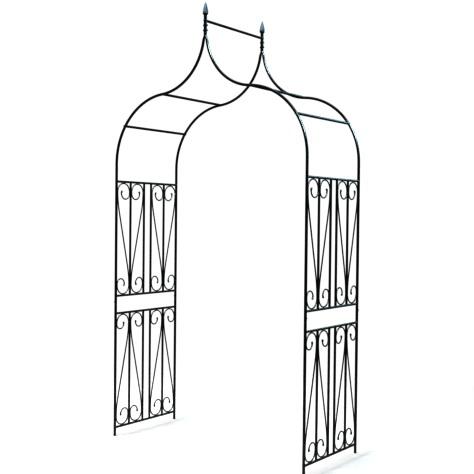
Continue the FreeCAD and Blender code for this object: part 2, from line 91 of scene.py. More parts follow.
TACK_REACH = 0.25 * MM  # a scroll is tacked where it comes this close to its neighbour
TACK_SPACING = 30 * MM
TACK_SIZE = (2.7 * MM, 2.3 * MM, 4.6 * MM)  # half sizes: outwards, across and along the joint
TACK_RIPPLE = 0.05  # height of the ripples, as a share of the tack's size
TACK_LUMP = 0.16  # slower unevenness, as a share of the tack's size
TACK_LUMPS = 1.6  # cells of the unevenness in half a tack
TACK_VARIETY = 4 * MM  # distance over which the unevenness changes from tack to tack

SCROLL_NUMBERS = (1, 2, 3, 4)  # the scrolls of one panel
NUB_LENGTH = 16.0 * MM  # forged swelling at each end of a scroll
NUB_R = 4.6 * MM
NUB_ROOT_R = 2.95 * MM
NUB_CAP_HEIGHT = 0.55 * NUB_R
NUB_CAP_FLAT_R = 0.3 * NUB_R
NUB_SIDES = 28
NUB_STEPS = 12
TIP_BENDS = {  # tip radius, degrees it turns, radius of the curl behind it; bottom tip first
    "lower": ((15.0 * MM, 20, 29.0 * MM), (14.0 * MM, 25, 27.0 * MM)),
    "upper": ((14.0 * MM, 45, 28.0 * MM), (16.0 * MM, 40, 32.0 * MM)),
}
PROBE = 7.0 * MM  # how much of a tip is looked at to see which way it bends

BOLT_R = 3.0 * MM  # M6 button-head bolts
BOLT_HEAD_HEIGHT = 3.3 * MM
BOLT_HEAD_EDGE = 0.9 * MM
BOLT_FLAT_R = 2.8 * MM
SOCKET_ACROSS_FLATS = 4.0 * MM
SOCKET_DEPTH = 2.0 * MM
NUT_ACROSS_FLATS = 10.0 * MM
NUT_HEIGHT = 3.2 * MM
NUT_CHAMFER = 0.7 * MM
DOME_R = 4.5 * MM
DOME_HEIGHT = 2.2 * MM
DOME_FLAT_R = 0.15 * DOME_R
SCREW_R = 2.0 * MM
SCREW_HEAD_HEIGHT = 2.2 * MM
SCREW_HEAD_EDGE = 0.6 * MM
SCREW_FLAT_R = 2.6 * MM
RECESS_LENGTH = 3.6 * MM
RECESS_WIDTH = 0.9 * MM
RECESS_DEPTH = 1.1 * MM
POINT_LENGTH = 0.8 * MM
ARC_STEPS = 7

COLLAR_STEM_R = 8.3 * MM
COLLAR_CORE_R = 0.6 * COLLAR_STEM_R  # the flat middle of each end
COLLAR_RIM = 4.5 * MM  # height of the straight part above the flare
COLLAR_LIP = 1.0 * MM  # radius of the rounded lip
COLLAR_LIP_WIDTH = 3 * COLLAR_LIP
COLLAR_FLARE_STEPS = 8
COLLAR_LIP_STEPS = 6
LATHE_SIDES = 72

SPEAR_BASE = 9.0 * MM  # half widths of the four-sided spear
SPEAR_WIDEST = 10.7 * MM
SPEAR_WIDEST_RISE = 7.0 * MM
SPEAR_TIP = 0.8 * MM
SPEAR_BELLY = 1.0 * MM  # how far the long faces swell beyond straight
SPEAR_HOLLOW = 0.35 * MM  # how far the long faces dip below flat
# height over which the spear's paint darkens at its foot: painted shade where it meets the collar, and dirt
SPEAR_SHADE_AND_DIRT_RISE = 2.2 * MM
SPEAR_ROWS = 46
SPEAR_CROWDING = 1.15  # above 1, rows crowd towards the foot
SPEAR_FACES = 4
SPEAR_FACE_COLUMNS = 10
SPEAR_CORNER_SHARE = 0.13
SPEAR_CORNER_INSETS = (0.05, 0.06)  # how far a corner is drawn in, square to its face and along it
CAST_UNEVENNESS = 0.12 * MM
CAST_LUMP_PITCH = 2.4 * MM
CAST_SMOOTH_BELOW = 3 * MM  # half width under which the unevenness fades out

CAMERA_PLACE = (2.652, -3.621, 1.176)
CAMERA_YAW = math.radians(35.95)
CAMERA_PITCH = math.radians(-1.11)
CAMERA_ROLL = math.radians(0.57)
CAMERA_LENS = 65.13
CAMERA_SENSOR = 36.0


# ---- materials ----------------------------------------------------------------------------


class Finish:
    """A material under construction, with short calls for the nodes that the finishes share."""

    def __init__(self, name):
        self.material = bpy.data.materials.new(name)
        self.material.use_nodes = True
        self.tree = self.material.node_tree
        self.shader = self.tree.nodes["Principled BSDF"]
        self.place = self.node("ShaderNodeTexCoord").outputs["Object"]

    def node(self, kind, inputs=(), **settings):
        made = self.tree.nodes.new(kind)
        for name, value in settings.items():
            setattr(made, name, value)
        for socket, value in dict(inputs).items():
            if isinstance(value, bpy.types.NodeSocket):
                self.tree.links.new(value, made.inputs[socket])
            else:
                made.inputs[socket].default_value = value
        return made

    def noise(self, scale, detail=3.0, roughness=0.55, stretch=None):
        place = self.place
        if stretch:
            place = self.node("ShaderNodeMapping", {"Vector": place, "Scale": stretch}).outputs[0]
        inputs = {"Vector": place, "Scale": scale, "Detail": detail, "Roughness": roughness}
        return self.node("ShaderNodeTexNoise", inputs).outputs[0]

    def spread(self, value, low, high, to_low=0.0, to_high=1.0):
        """value's range from low to high, mapped smoothly to another range and held at its ends."""
        inputs = {
            "Value": value,
            "From Min": low,
            "From Max": high,
            "To Min": to_low,
            "To Max": to_high,
        }
        node = self.node("ShaderNodeMapRange", inputs, interpolation_type="SMOOTHSTEP")
        return node.outputs["Result"]

    def math(self, operation, *values):
        return self.node("ShaderNodeMath", enumerate(values), operation=operation).outputs[0]

    def mix(self, share, first, second):
        """first where share is 0, second where it is 1; both are colours."""
        node = self.node("ShaderNodeMix", data_type="RGBA")
        for socket, value in ((node.inputs[0], share), (node.inputs[6], first), (node.inputs[7], second)):
            if isinstance(value, bpy.types.NodeSocket):
                self.tree.links.new(value, socket)
            else:
                socket.default_value = (*value, 1.0) if isinstance(value, tuple) else value
        return node.outputs[2]

    def height(self):
        """Height above the ground."""
        return self.node("ShaderNodeSeparateXYZ", {0: self.place}).outputs["Z"]

    def upwards(self):
        """How far the surface faces the sky, from -1 to 1."""
        normal = self.node("ShaderNodeNewGeometry").outputs["Normal"]
        return self.node("ShaderNodeSeparateXYZ", {0: normal}).outputs["Z"]

    def finish(self, colour, roughness, relief, relief_depth, **constants):
        """Connects the shader. Constants are named after its sockets, with _ for each space."""
        bump = self.node("ShaderNodeBump", {"Height": relief, "Distance": relief_depth}).outputs[0]
        for name, value in (("Base Color", colour), ("Roughness", roughness), ("Normal", bump)):
            self.tree.links.new(value, self.shader.inputs[name])
        for name, value in constants.items():
            self.shader.inputs[name.replace("_", " ")].default_value = value
        return self.material


DUST = (0.11, 0.112, 0.108)
DUST_SHARE = 0.07
SOIL = (0.075, 0.052, 0.034)
SOIL_SHARE = 0.7
SOIL_FULL_BELOW = 12 * MM
SOIL_NONE_ABOVE = 130 * MM
PRIMER = (0.05, 0.052, 0.052)
RUST = (0.085, 0.030, 0.012)
CAST_DARK = (0.13, 0.175, 0.205)
CAST_PALE = (0.36, 0.45, 0.51)
CAST_RUBBED = (0.48, 0.56, 0.61)
# near-black at the spear's foot: painted shade where it meets the collar, and dirt
CAST_SHADE_AND_DIRT = (0.02, 0.026, 0.03)
OXIDE_BLACK = (0.012, 0.012, 0.013)
OXIDE_GREY = (0.030, 0.029, 0.028)
BARE_STEEL = (0.15, 0.14, 0.13)
ZINC = (0.52, 0.53, 0.54)
ZINC_BLOOM = (0.70, 0.70, 0.68)
PLASTIC_DARK = (0.014, 0.014, 0.014)
PLASTIC_PALE = (0.026, 0.025, 0.024)


def powder_coat(name, base, clean_roughness, peel, chipped):
    """Black powder coat: orange peel, faint dust on top, soil near the ground and a few chips.

    clean_roughness is the roughness of bare clean coat and peel the depth of the orange peel.
    chipped lowers the noise level above which the coat has chips, so more of it gets some.
    """
    finish = Finish(name)
    mottle = finish.spread(finish.noise(11.0, 4.0), 0.35, 0.7)
    lighter = tuple(1.6 * channel for channel in base)
    colour = finish.mix(mottle, base, lighter)

    grime = finish.spread(finish.noise(70.0, 5.0, 0.62), 0.42, 0.75)
    sky = finish.spread(finish.upwards(), 0.45, 1.0)
    dust = finish.math("MULTIPLY", finish.math("MULTIPLY", grime, sky), DUST_SHARE)
    colour = finish.mix(dust, colour, DUST)

    low = finish.spread(finish.height(), SOIL_FULL_BELOW, SOIL_NONE_ABOVE, 1.0, 0.0)
    splash = finish.spread(finish.noise(240.0, 4.0, 0.6), 0.47, 0.68)
    soil = finish.math("MULTIPLY", finish.math("MULTIPLY", splash, low), SOIL_SHARE)
    colour = finish.mix(soil, colour, SOIL)

    patches = finish.spread(finish.noise(16.0, 2.0), 0.60 - chipped, 0.66 - chipped)
    specks = finish.spread(finish.noise(420.0, 2.0, 0.5), 0.685, 0.715)
    chips = finish.math("MULTIPLY", patches, specks)
    bare = finish.mix(finish.spread(finish.noise(700.0, 2.0), 0.4, 0.6), PRIMER, RUST)
    colour = finish.mix(chips, colour, bare)

    smear = finish.spread(finish.noise(38.0, 3.0, 0.5, (1.0, 1.0, 0.25)), 0.3, 0.75, -0.05, 0.09)
    dulled = finish.math("ADD", finish.math("MULTIPLY", dust, 1.6), finish.math("MULTIPLY", soil, 0.5))
    worn = finish.math("ADD", dulled, finish.math("MULTIPLY", chips, 0.35))
    roughness = finish.math("ADD", finish.math("ADD", worn, smear), clean_roughness)

    peel_height = finish.noise(620.0, 2.0, 0.45)
    relief = finish.math("SUBTRACT", peel_height, finish.math("MULTIPLY", chips, 1.2))
    relief = finish.math("ADD", relief, finish.math("MULTIPLY", soil, 0.8))
    return finish.finish(colour, roughness, relief, peel, Specular_IOR_Level=0.42, IOR=1.45)


def cast_paint():
    """Blue-grey paint on a cast spear: pitted, paler on its edges, and darker at its foot with painted
    shade and dirt where it meets the collar.
    """
    finish = Finish("cast_blue_grey_paint")
    tone = finish.spread(finish.noise(210.0, 5.0, 0.62), 0.34, 0.68)
    colour = finish.mix(tone, CAST_DARK, CAST_PALE)
    edge = finish.node("ShaderNodeAttribute", attribute_name="edge").outputs["Fac"]
    foot = finish.node("ShaderNodeAttribute", attribute_name="foot").outputs["Fac"]
    rubbed = finish.math("MULTIPLY", edge, finish.spread(finish.noise(330.0, 4.0), 0.38, 0.6, 0.15, 0.75))
    colour = finish.mix(rubbed, colour, CAST_RUBBED)
    # darkening at the foot: painted shade where the spear meets the collar, and dirt
    foot_shade_and_dirt = finish.math("MULTIPLY", foot, finish.spread(finish.noise(260.0, 4.0), 0.25, 0.6, 0.35, 0.9))
    colour = finish.mix(foot_shade_and_dirt, colour, CAST_SHADE_AND_DIRT)
    pits = finish.spread(finish.noise(900.0, 2.0), 0.24, 0.42)
    grain = finish.noise(430.0, 4.0, 0.6)
    relief = finish.math("ADD", finish.math("MULTIPLY", pits, 0.6), grain)
    roughness = finish.math("ADD", finish.math("MULTIPLY", grain, 0.25), 0.42)
    return finish.finish(colour, roughness, relief, 0.12 * MM, Specular_IOR_Level=0.22)


def black_oxide():
    """Oiled black oxide on bolts, nuts and screws, with bare steel showing through in flecks."""
    finish = Finish("black_oxide_steel")
    tone = finish.spread(finish.noise(520.0, 4.0), 0.35, 0.7)
    colour = finish.mix(tone, OXIDE_BLACK, OXIDE_GREY)
    flecks = finish.spread(finish.noise(900.0, 3.0), 0.66, 0.73)
    colour = finish.mix(finish.math("MULTIPLY", flecks, 0.35), colour, BARE_STEEL)
    relief = finish.noise(900.0, 3.0, 0.6)
    roughness = finish.spread(finish.noise(300.0, 3.0), 0.3, 0.7, 0.30, 0.48)
    return finish.finish(colour, roughness, relief, 0.012 * MM, Metallic=0.6)


def zinc_plate():
    """Bright zinc on the tapped inserts, with white bloom."""
    finish = Finish("zinc_plated_steel")
    bloom = finish.spread(finish.noise(260.0, 5.0, 0.65), 0.45, 0.75)
    colour = finish.mix(bloom, ZINC, ZINC_BLOOM)
    roughness = finish.spread(bloom, 0.0, 1.0, 0.26, 0.6)
    relief = finish.noise(800.0, 3.0)
    return finish.finish(colour, roughness, relief, 0.03 * MM, Metallic=1.0)


def moulded_plastic():
    """Spark-textured black plastic with soil worked into it."""
    finish = Finish("moulded_black_plastic")
    low = finish.spread(finish.height(), 0.0, 0.02, 1.0, 0.25)
    splash = finish.spread(finish.noise(330.0, 5.0, 0.65), 0.4, 0.68)
    soil = finish.math("MULTIPLY", splash, low)
    tone = finish.spread(finish.noise(60.0), 0.3, 0.7)
    colour = finish.mix(tone, PLASTIC_DARK, PLASTIC_PALE)
    colour = finish.mix(finish.math("MULTIPLY", soil, 0.75), colour, SOIL)
    texture = finish.node("ShaderNodeTexVoronoi", {"Vector": finish.place, "Scale": 1700.0}).outputs[0]
    relief = finish.math("ADD", texture, finish.math("MULTIPLY", soil, 0.6))
    roughness = finish.spread(soil, 0.0, 1.0, 0.55, 0.9)
    return finish.finish(colour, roughness, relief, 0.06 * MM)


FINISHES = {
    "black_tube": powder_coat(
        "gloss_powder_coat",
        base=(0.0085, 0.0098, 0.0092),
        clean_roughness=0.25,
        peel=0.014 * MM,
        chipped=0.0,
    ),
    "black_panel_bar": powder_coat(
        "bar_powder_coat",
        base=(0.0082, 0.0094, 0.0086),
        clean_roughness=0.30,
        peel=0.018 * MM,
        chipped=0.02,
    ),
    "black_scroll_rod": powder_coat(
        "rod_powder_coat",
        base=(0.0080, 0.0090, 0.0080),
        clean_roughness=0.32,
        peel=0.018 * MM,
        chipped=0.03,
    ),
    "blue_grey_finial": cast_paint(),
    "blackened_fasteners": black_oxide(),
    "plated_inserts": zinc_plate(),
    "black_plastic": moulded_plastic(),
}
WELD_FINISH = powder_coat(
    "weld_powder_coat",
    base=(0.0080, 0.0086, 0.0078),
    clean_roughness=0.29,
    peel=0.03 * MM,
    chipped=0.08,
)


def dress(piece, material):
    piece.data.materials.clear()
    piece.data.materials.append(material)


for subpart in frame["record"]["subparts"]:
    dress(frame["nodes"][subpart["node"]], FINISHES[subpart["material_slot"]])


# ---- mesh building ------------------------------------------------------------------------


def add_piece(name, shape, material):
    """Makes a bmesh into a piece that rides on the arch, smooth except at sharp corners."""
    bmesh.ops.recalc_face_normals(shape, faces=shape.faces)
    mesh = bpy.data.meshes.new(name)
    shape.to_mesh(mesh)
    shape.free()
    mesh.polygons.foreach_set("use_smooth", [True] * len(mesh.polygons))
    mesh.set_sharp_from_angle(angle=SHARP_ANGLE)
    piece = bpy.data.objects.new(name, mesh)
    bpy.context.scene.collection.objects.link(piece)
    dress(piece, material)
    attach(piece, "root")
    return piece


def add_rings(shape, rings, closed=False):
    """Joins rings of equally many points with quads. Open ends are capped."""
    loops = [[shape.verts.new(point) for point in ring] for ring in rings]
    pairs = list(zip(loops, loops[1:]))
    if closed:
        pairs.append((loops[-1], loops[0]))
    for first, second in pairs:
        for i in range(len(first)):
            j = (i + 1) % len(first)
            shape.faces.new((first[i], first[j], second[j], second[i]))
    if not closed:
        shape.faces.new(reversed(loops[0]))
        shape.faces.new(loops[-1])
    return loops


def cad_shape(node):
    """The node's mesh as a bmesh with its split corners joined."""
    shape = bmesh.new()
    shape.from_mesh(frame["nodes"][node].data)
    bmesh.ops.remove_doubles(shape, verts=shape.verts, dist=MERGE_DISTANCE)
    shape.verts.index_update()
    shape.verts.ensure_lookup_table()
    return shape


def rims(node):
    """Closed loops of points along a node's sharp edges, such as the two ends of a bar."""
    shape = cad_shape(node)
    beside = {}
    for edge in shape.edges:
        if edge.is_manifold and edge.calc_face_angle() > SHARP_ANGLE:
            first, second = (vert.index for vert in edge.verts)
            beside.setdefault(first, []).append(second)
            beside.setdefault(second, []).append(first)
    loops = []
    seen = set()
    for start in sorted(beside):
        loop = []
        onward = [start]
        while onward:
            seen.add(onward[0])
            loop.append(shape.verts[onward[0]].co.copy())
            onward = sorted(i for i in beside[onward[0]] if i not in seen)
        if len(loop) > 1:
            loops.append(loop)
    shape.free()
    return loops


def solids(node):
    """Lowest and highest corner of each separate solid in a node."""
    shape = cad_shape(node)
    seen = set()
    boxes = []
    for start in shape.verts:
        if start.index in seen:
            continue
        seen.add(start.index)
        reached = [start]
        for vert in reached:
            for edge in vert.link_edges:
                other = edge.other_vert(vert)
                if other.index not in seen:
                    seen.add(other.index)
                    reached.append(other)
        places = [vert.co for vert in reached]
        low = Vector([min(place[axis] for place in places) for axis in range(3)])
        high = Vector([max(place[axis] for place in places) for axis in range(3)])
        boxes.append((low, high))
    shape.free()
    return boxes


def saddle(centre, axis, radius, other_axis, other_radius):
    """Rim of a round bar that runs along axis from a bar of other_radius it is coped to."""
    sideways = axis.cross(other_axis)
    points = []
    for k in range(SADDLE_POINTS):
        turn = 2 * math.pi * k / SADDLE_POINTS
        aside = radius * math.cos(turn)
        reach = math.sqrt(max(other_radius**2 - aside**2, 0.0))
        along = max(reach, COPE_FLAT)
        points.append(centre + aside * sideways + radius * math.sin(turn) * other_axis + along * axis)
    return points


def spaced_loop(points, step):
    """Points at even steps round a closed loop, and the distance of each along it."""
    ends = points[1:] + points[:1]
    lengths = [(end - start).length for start, end in zip(points, ends)]
    total = sum(lengths)
    count = round(total / step)
    spaced = []
    walked = 0.0
    side = 0
    for i in range(count):
        target = total * i / count
        while walked + lengths[side] < target:
            walked += lengths[side]
            side += 1
        share = (target - walked) / lengths[side]
        spaced.append((points[side].lerp(ends[side], share), target))
    return spaced


def bead(shape, loop, radius):
    """Rippled weld bead round a rim, heaviest on the two sides that a torch reaches, along X."""
    spaced = spaced_loop(loop, BEAD_STEP)
    middle = sum((point for point, _ in spaced), Vector()) / len(spaced)
    rings = []
    for i, (point, distance) in enumerate(spaced):
        ahead = spaced[(i + 1) % len(spaced)][0]
        tangent = (ahead - spaced[i - 1][0]).normalized()
        outwards = point - middle
        outwards = (outwards - outwards.dot(tangent) * tangent).normalized()
        across = tangent.cross(outwards)
        ripple = BEAD_RIPPLE * math.cos(2 * math.pi * distance / RIPPLE_PITCH)
        lump = BEAD_LUMP * noise.noise(point / BEAD_LUMP_PITCH)
        reach = BEAD_THIN_SHARE + (1 - BEAD_THIN_SHARE) * abs(outwards.x)
        here = radius * (reach + ripple + lump)
        ring = []
        for k in range(BEAD_SIDES):
            turn = 2 * math.pi * k / BEAD_SIDES
            ring.append(point + here * (math.cos(turn) * outwards + math.sin(turn) * across))
        rings.append(ring)
    add_rings(shape, rings, closed=True)


def blob(shape, place, along, half_sizes):
    """Tack weld: an uneven lump, long along the joint."""
    made = bmesh.ops.create_icosphere(shape, subdivisions=3, radius=1.0)
    across = along.cross(ACROSS)
    for vert in made["verts"]:
        unit = vert.co.copy()
        swell = 1.0 + TACK_LUMP * noise.noise(unit * TACK_LUMPS + place / TACK_VARIETY)
        ripple = 1.0 + TACK_RIPPLE * math.cos(unit.z * half_sizes[2] * 2 * math.pi / RIPPLE_PITCH)
        size = swell * ripple
        offset = (
            ACROSS * (unit.x * half_sizes[0])
            + across * (unit.y * half_sizes[1])
            + along * (unit.z * half_sizes[2])
        )
        vert.co = place + size * offset


def contacts(scroll, neighbour):
    """Where a scroll comes up against a neighbouring bar, rail or post."""
    shape = cad_shape(neighbour)
    tree = BVHTree.FromBMesh(shape)
    shape.free()
    groups = []
    for vert in frame["nodes"][scroll].data.vertices:
        near = tree.find_nearest(vert.co, TACK_REACH)[0]
        if near is None:
            continue
        point = (vert.co + near) / 2
        home = next((group for group in groups if (group[0] - point).length < TACK_SPACING), None)
        if home:
            home.append(point)
        else:
            groups.append([point])
    return [sum(group, Vector()) / len(group) for group in groups]


def lathe(profile, centre, axis=UP):
    """Rings of a profile of (radius, distance along axis) turned about a line through centre.

    A radius is a number, or for a ring that isn't round, a function of the angle.
    """
    turn_to_axis = UP.rotation_difference(axis)
    rings = []
    for radius, along in profile:
        ring = []
        for k in range(LATHE_SIDES):
            turn = 2 * math.pi * k / LATHE_SIDES
            reach = radius(turn) if callable(radius) else radius
            offset = Vector((reach * math.cos(turn), reach * math.sin(turn), along))
            ring.append(centre + turn_to_axis @ offset)
        rings.append(ring)
    return rings


def rounding(outer_r, start, inner_r, stop):
    """Profile of a convex quarter turn from outer_r at start to inner_r at stop."""
    profile = []
    for step in range(1, ARC_STEPS + 1):
        turn = math.pi / 2 * step / ARC_STEPS
        radius = inner_r + (outer_r - inner_r) * math.cos(turn)
        profile.append((radius, start + (stop - start) * math.sin(turn)))
    return profile


# ---- welds --------------------------------------------------------------------------------


def panel_welds(side, level):
    """All beads and tacks of one side panel, as one piece."""
    panel = f"{side}_{level}_panel"
    shape = bmesh.new()
    posts = [f"{end}_{side}_{level}_post" for end in FRAMES]
    for rail, upwards in (("bottom_rail", 1), ("top_rail", -1)):
        low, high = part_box(f"{panel}_{rail}")
        rail_middle = (low + high) / 2
        rail_r = (high.z - low.z) / 2
        for bar_low, bar_high in solids(f"{panel}_bars"):
            centre = Vector((rail_middle.x, (bar_low.y + bar_high.y) / 2, rail_middle.z))
            bar_r = (bar_high.y - bar_low.y) / 2
            rim = saddle(centre, upwards * UP, bar_r, ALONG, rail_r)
            bead(shape, rim, BAR_WELD_R)
        for post, inwards in zip(posts, (1, -1)):
            post_low, post_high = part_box(post)
            post_r = (post_high.y - post_low.y) / 2
            centre = Vector((rail_middle.x, (post_low.y + post_high.y) / 2, rail_middle.z))
            rim = saddle(centre, inwards * ALONG, rail_r, UP, post_r)
            bead(shape, rim, RAIL_WELD_R)
    uprights = [f"{panel}_bars"] + posts
    for number in SCROLL_NUMBERS:
        scroll = f"{panel}_scroll_{number}"
        for rail in ("bottom_rail", "top_rail"):
            for place in contacts(scroll, f"{panel}_{rail}"):
                blob(shape, place, ALONG, TACK_SIZE)
        for upright in uprights:
            for place in contacts(scroll, upright):
                blob(shape, place, UP, TACK_SIZE)
    add_piece(f"{panel}_welds", shape, WELD_FINISH)


def scroll_nubs(side, level):
    """Forged, rounded swellings at the eight rod ends of one panel."""
    panel = f"{side}_{level}_panel"
    shape = bmesh.new()
    for number in SCROLL_NUMBERS:
        scroll = f"{panel}_scroll_{number}"
        low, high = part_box(scroll)
        points = [vert.co.copy() for vert in frame["nodes"][scroll].data.vertices]
        for loop in rims(scroll):
            centre = sum(loop, Vector()) / len(loop)
            axis = (loop[0] - centre).cross(loop[len(loop) // 4] - centre).normalized()
            behind = [point - centre for point in points if (point - centre).length < PROBE]
            drift = sum(behind, Vector()) / len(behind)
            if drift.dot(axis) > 0:
                axis = -axis
            inwards = ACROSS.cross(axis)
            if drift.dot(inwards) < 0:
                inwards = -inwards
            is_top = centre.z > (low.z + high.z) / 2
            forged_end(shape, centre, axis, inwards, TIP_BENDS[level][is_top])
    add_piece(f"{panel}_scroll_ends", shape, FINISHES["black_scroll_rod"])


def back_along(place, heading, inwards, radius, angle):
    """Place, heading and direction to the centre of bend after going back along an arc."""
    cosine = math.cos(angle)
    sine = math.sin(angle)
    moved = place + radius * ((1 - cosine) * inwards - sine * heading)
    return moved, cosine * heading - sine * inwards, cosine * inwards + sine * heading


def forged_end(shape, centre, axis, inwards, bends):
    """One swelling, bent like its rod, whose centre of bend lies inwards from the rod's end."""
    tip_r, tip_degrees, curl_r = bends
    tip_length = tip_r * math.radians(tip_degrees)
    profile = []
    for step in range(NUB_STEPS):
        share = step / NUB_STEPS
        swell = 0.5 - 0.5 * math.cos(math.pi * share)
        profile.append((NUB_ROOT_R + swell * (NUB_R - NUB_ROOT_R), -NUB_LENGTH * (1 - share)))
    profile.append((NUB_R, 0.0))
    profile += rounding(NUB_R, 0.0, NUB_CAP_FLAT_R, NUB_CAP_HEIGHT)
    sideways = axis.cross(inwards)
    rings = []
    for radius, along in profile:
        start = centre + max(along, 0.0) * axis
        back = max(-along, 0.0)
        bend_end = back_along(start, axis, inwards, tip_r, min(back, tip_length) / tip_r)
        place, _, towards_bend = back_along(*bend_end, curl_r, max(back - tip_length, 0.0) / curl_r)
        ring = []
        for k in range(NUB_SIDES):
            turn = 2 * math.pi * k / NUB_SIDES
            ring.append(place + radius * (math.cos(turn) * towards_bend + math.sin(turn) * sideways))
        rings.append(ring)
    add_rings(shape, rings)


for side in SIDES:
    for level in LEVELS:
        panel_welds(side, level)
        scroll_nubs(side, level)


# ---- finials ------------------------------------------------------------------------------


def collar(end):
    """Flared cup with a rounded lip, turned about the finial post."""
    low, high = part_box(f"{end}_finial_collar")
    radius = (high.x - low.x) / 2
    height = high.z - low.z
    flare_height = height - COLLAR_RIM
    profile = [(COLLAR_CORE_R, 0.0), (COLLAR_STEM_R, 0.0)]
    for step in range(1, COLLAR_FLARE_STEPS + 1):
        share = step / COLLAR_FLARE_STEPS
        bulge = 1 - math.cos(math.pi / 2 * share)
        profile.append((COLLAR_STEM_R + (radius - COLLAR_STEM_R) * bulge, flare_height * share))
    for step in range(1, COLLAR_LIP_STEPS + 1):
        turn = math.pi / 2 * step / COLLAR_LIP_STEPS
        across = radius - COLLAR_LIP * (1 - math.cos(turn))
        profile.append((across, height - COLLAR_LIP * (1 - math.sin(turn))))
    profile.append((radius - COLLAR_LIP_WIDTH, height))
    profile.append((COLLAR_CORE_R, height))
    foot = Vector(((low.x + high.x) / 2, (low.y + high.y) / 2, low.z))
    shape = bmesh.new()
    add_rings(shape, lathe(profile, foot))
    piece = add_piece(f"{end}_collar", shape, FINISHES["black_tube"])
    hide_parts(f"{end}_finial_collar")


def spear_rise(row, height):
    return height * (row / (SPEAR_ROWS - 1)) ** SPEAR_CROWDING


def spear_half_width(rise, height):
    if rise < SPEAR_WIDEST_RISE:
        share = rise / SPEAR_WIDEST_RISE
        return SPEAR_BASE + (SPEAR_WIDEST - SPEAR_BASE) * math.sin(math.pi / 2 * share)
    share = (rise - SPEAR_WIDEST_RISE) / (height - SPEAR_WIDEST_RISE)
    belly = SPEAR_BELLY * math.sin(math.pi * share)
    return SPEAR_WIDEST + (SPEAR_TIP - SPEAR_WIDEST) * share + belly


def spear_outline():
    """One turn round a unit square with rounded corners: (x, y, nearness to a corner)."""
    inset_square, inset_along = SPEAR_CORNER_INSETS
    outline = []
    for face in range(SPEAR_FACES):
        turn = Matrix.Rotation(math.pi / 2 * face, 2)
        for column in range(SPEAR_FACE_COLUMNS):
            share = (column + 0.5) / SPEAR_FACE_COLUMNS
            flat = 2 * share - 1
            edge = max(0.0, (abs(flat) - 1 + 2 * SPEAR_CORNER_SHARE) / (2 * SPEAR_CORNER_SHARE))
            point = turn @ Vector((1 - inset_square * edge**2, flat * (1 - inset_along * edge**2)))
            outline.append((point.x, point.y, edge))
    return outline


def spear(end):
    """Four-sided cast spear with softened edges and an uneven skin.

    Each face is slightly hollow to both sides of a low ridge up its middle.
    """
    low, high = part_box(f"{end}_finial")
    foot = Vector(((low.x + high.x) / 2, (low.y + high.y) / 2, low.z))
    height = high.z - low.z
    outline = spear_outline()
    shape = bmesh.new()
    edge_layer = shape.verts.layers.float.new("edge")
    foot_layer = shape.verts.layers.float.new("foot")
    rows = []
    for row in range(SPEAR_ROWS):
        rise = spear_rise(row, height)
        half = spear_half_width(rise, height)
        ring = []
        for x, y, edge in outline:
            hollow = SPEAR_HOLLOW * (1 - edge) * min(1.0, half / SPEAR_WIDEST) ** 2
            ridge = abs(abs(x) - abs(y)) ** 4
            outwards = Vector((x, y, 0)).normalized()
            place = foot + Vector((x * half, y * half, rise))
            lump = CAST_UNEVENNESS * noise.noise(place / CAST_LUMP_PITCH)
            uneven = lump * min(1.0, half / CAST_SMOOTH_BELOW)
            ring.append(place + outwards * (uneven - hollow * (1 - ridge)))
        rows.append(ring)
    loops = add_rings(shape, rows)
    for row, loop in enumerate(loops):
        rise = spear_rise(row, height)
        for vert, (_, _, edge) in zip(loop, outline):
            vert[edge_layer] = edge
            # the foot value marks where the paint darkens: painted shade and dirt
            vert[foot_layer] = max(0.0, 1 - rise / SPEAR_SHADE_AND_DIRT_RISE)
    piece = add_piece(f"{end}_spear", shape, FINISHES["blue_grey_finial"])
    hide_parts(f"{end}_finial")


for end in FRAMES:
    collar(end)
    spear(end)


# ---- bolts, nuts and screws ----------------------------------------------------------------


def hexagon(across_flats):
    """Outline of a hexagon, as a radius for each angle."""
    sector = math.pi / 3
    return lambda turn: across_flats / 2 / math.cos((turn + sector / 2) % sector - sector / 2)


def cross(length, width):
    """Outline of a cross-shaped recess, as a radius for each angle."""

    def radius(turn):
        from_arm = (turn + math.pi / 4) % (math.pi / 2) - math.pi / 4
        end = length / 2 / math.cos(from_arm)
        flank = width / 2 / max(abs(math.sin(from_arm)), width / length / 2)
        return min(end, flank)

    return radius


def chamfered(outline, limit):
    """An outline cut back to a circle of radius limit."""
    return lambda turn: min(outline(turn), limit)


def bolt_profile(length, head_r):
    """M6 button head with a hexagon socket; 0 is the seat of the head."""
    shank = length - BOLT_HEAD_HEIGHT
    socket = hexagon(SOCKET_ACROSS_FLATS)
    profile = [
        (BOLT_R - POINT_LENGTH / 2, -shank),
        (BOLT_R, -shank + POINT_LENGTH),
        (BOLT_R, 0.0),
        (head_r, 0.0),
        (head_r, BOLT_HEAD_EDGE),
    ]
    profile += rounding(head_r, BOLT_HEAD_EDGE, BOLT_FLAT_R, BOLT_HEAD_HEIGHT)
    profile.append((socket, BOLT_HEAD_HEIGHT))
    profile.append((socket, BOLT_HEAD_HEIGHT - SOCKET_DEPTH))
    return profile


def screw_profile(length, head_r):
    """Pan head with a cross recess; 0 is the seat of the head."""
    shank = length - SCREW_HEAD_HEIGHT
    recess = cross(RECESS_LENGTH, RECESS_WIDTH)
    profile = [
        (SCREW_R - POINT_LENGTH, -shank),
        (SCREW_R, -shank + POINT_LENGTH),
        (SCREW_R, 0.0),
        (head_r, 0.0),
        (head_r, SCREW_HEAD_EDGE),
    ]
    profile += rounding(head_r, SCREW_HEAD_EDGE, SCREW_FLAT_R, SCREW_HEAD_HEIGHT)
    profile.append((recess, SCREW_HEAD_HEIGHT))
    profile.append((recess, SCREW_HEAD_HEIGHT - RECESS_DEPTH))
    return profile


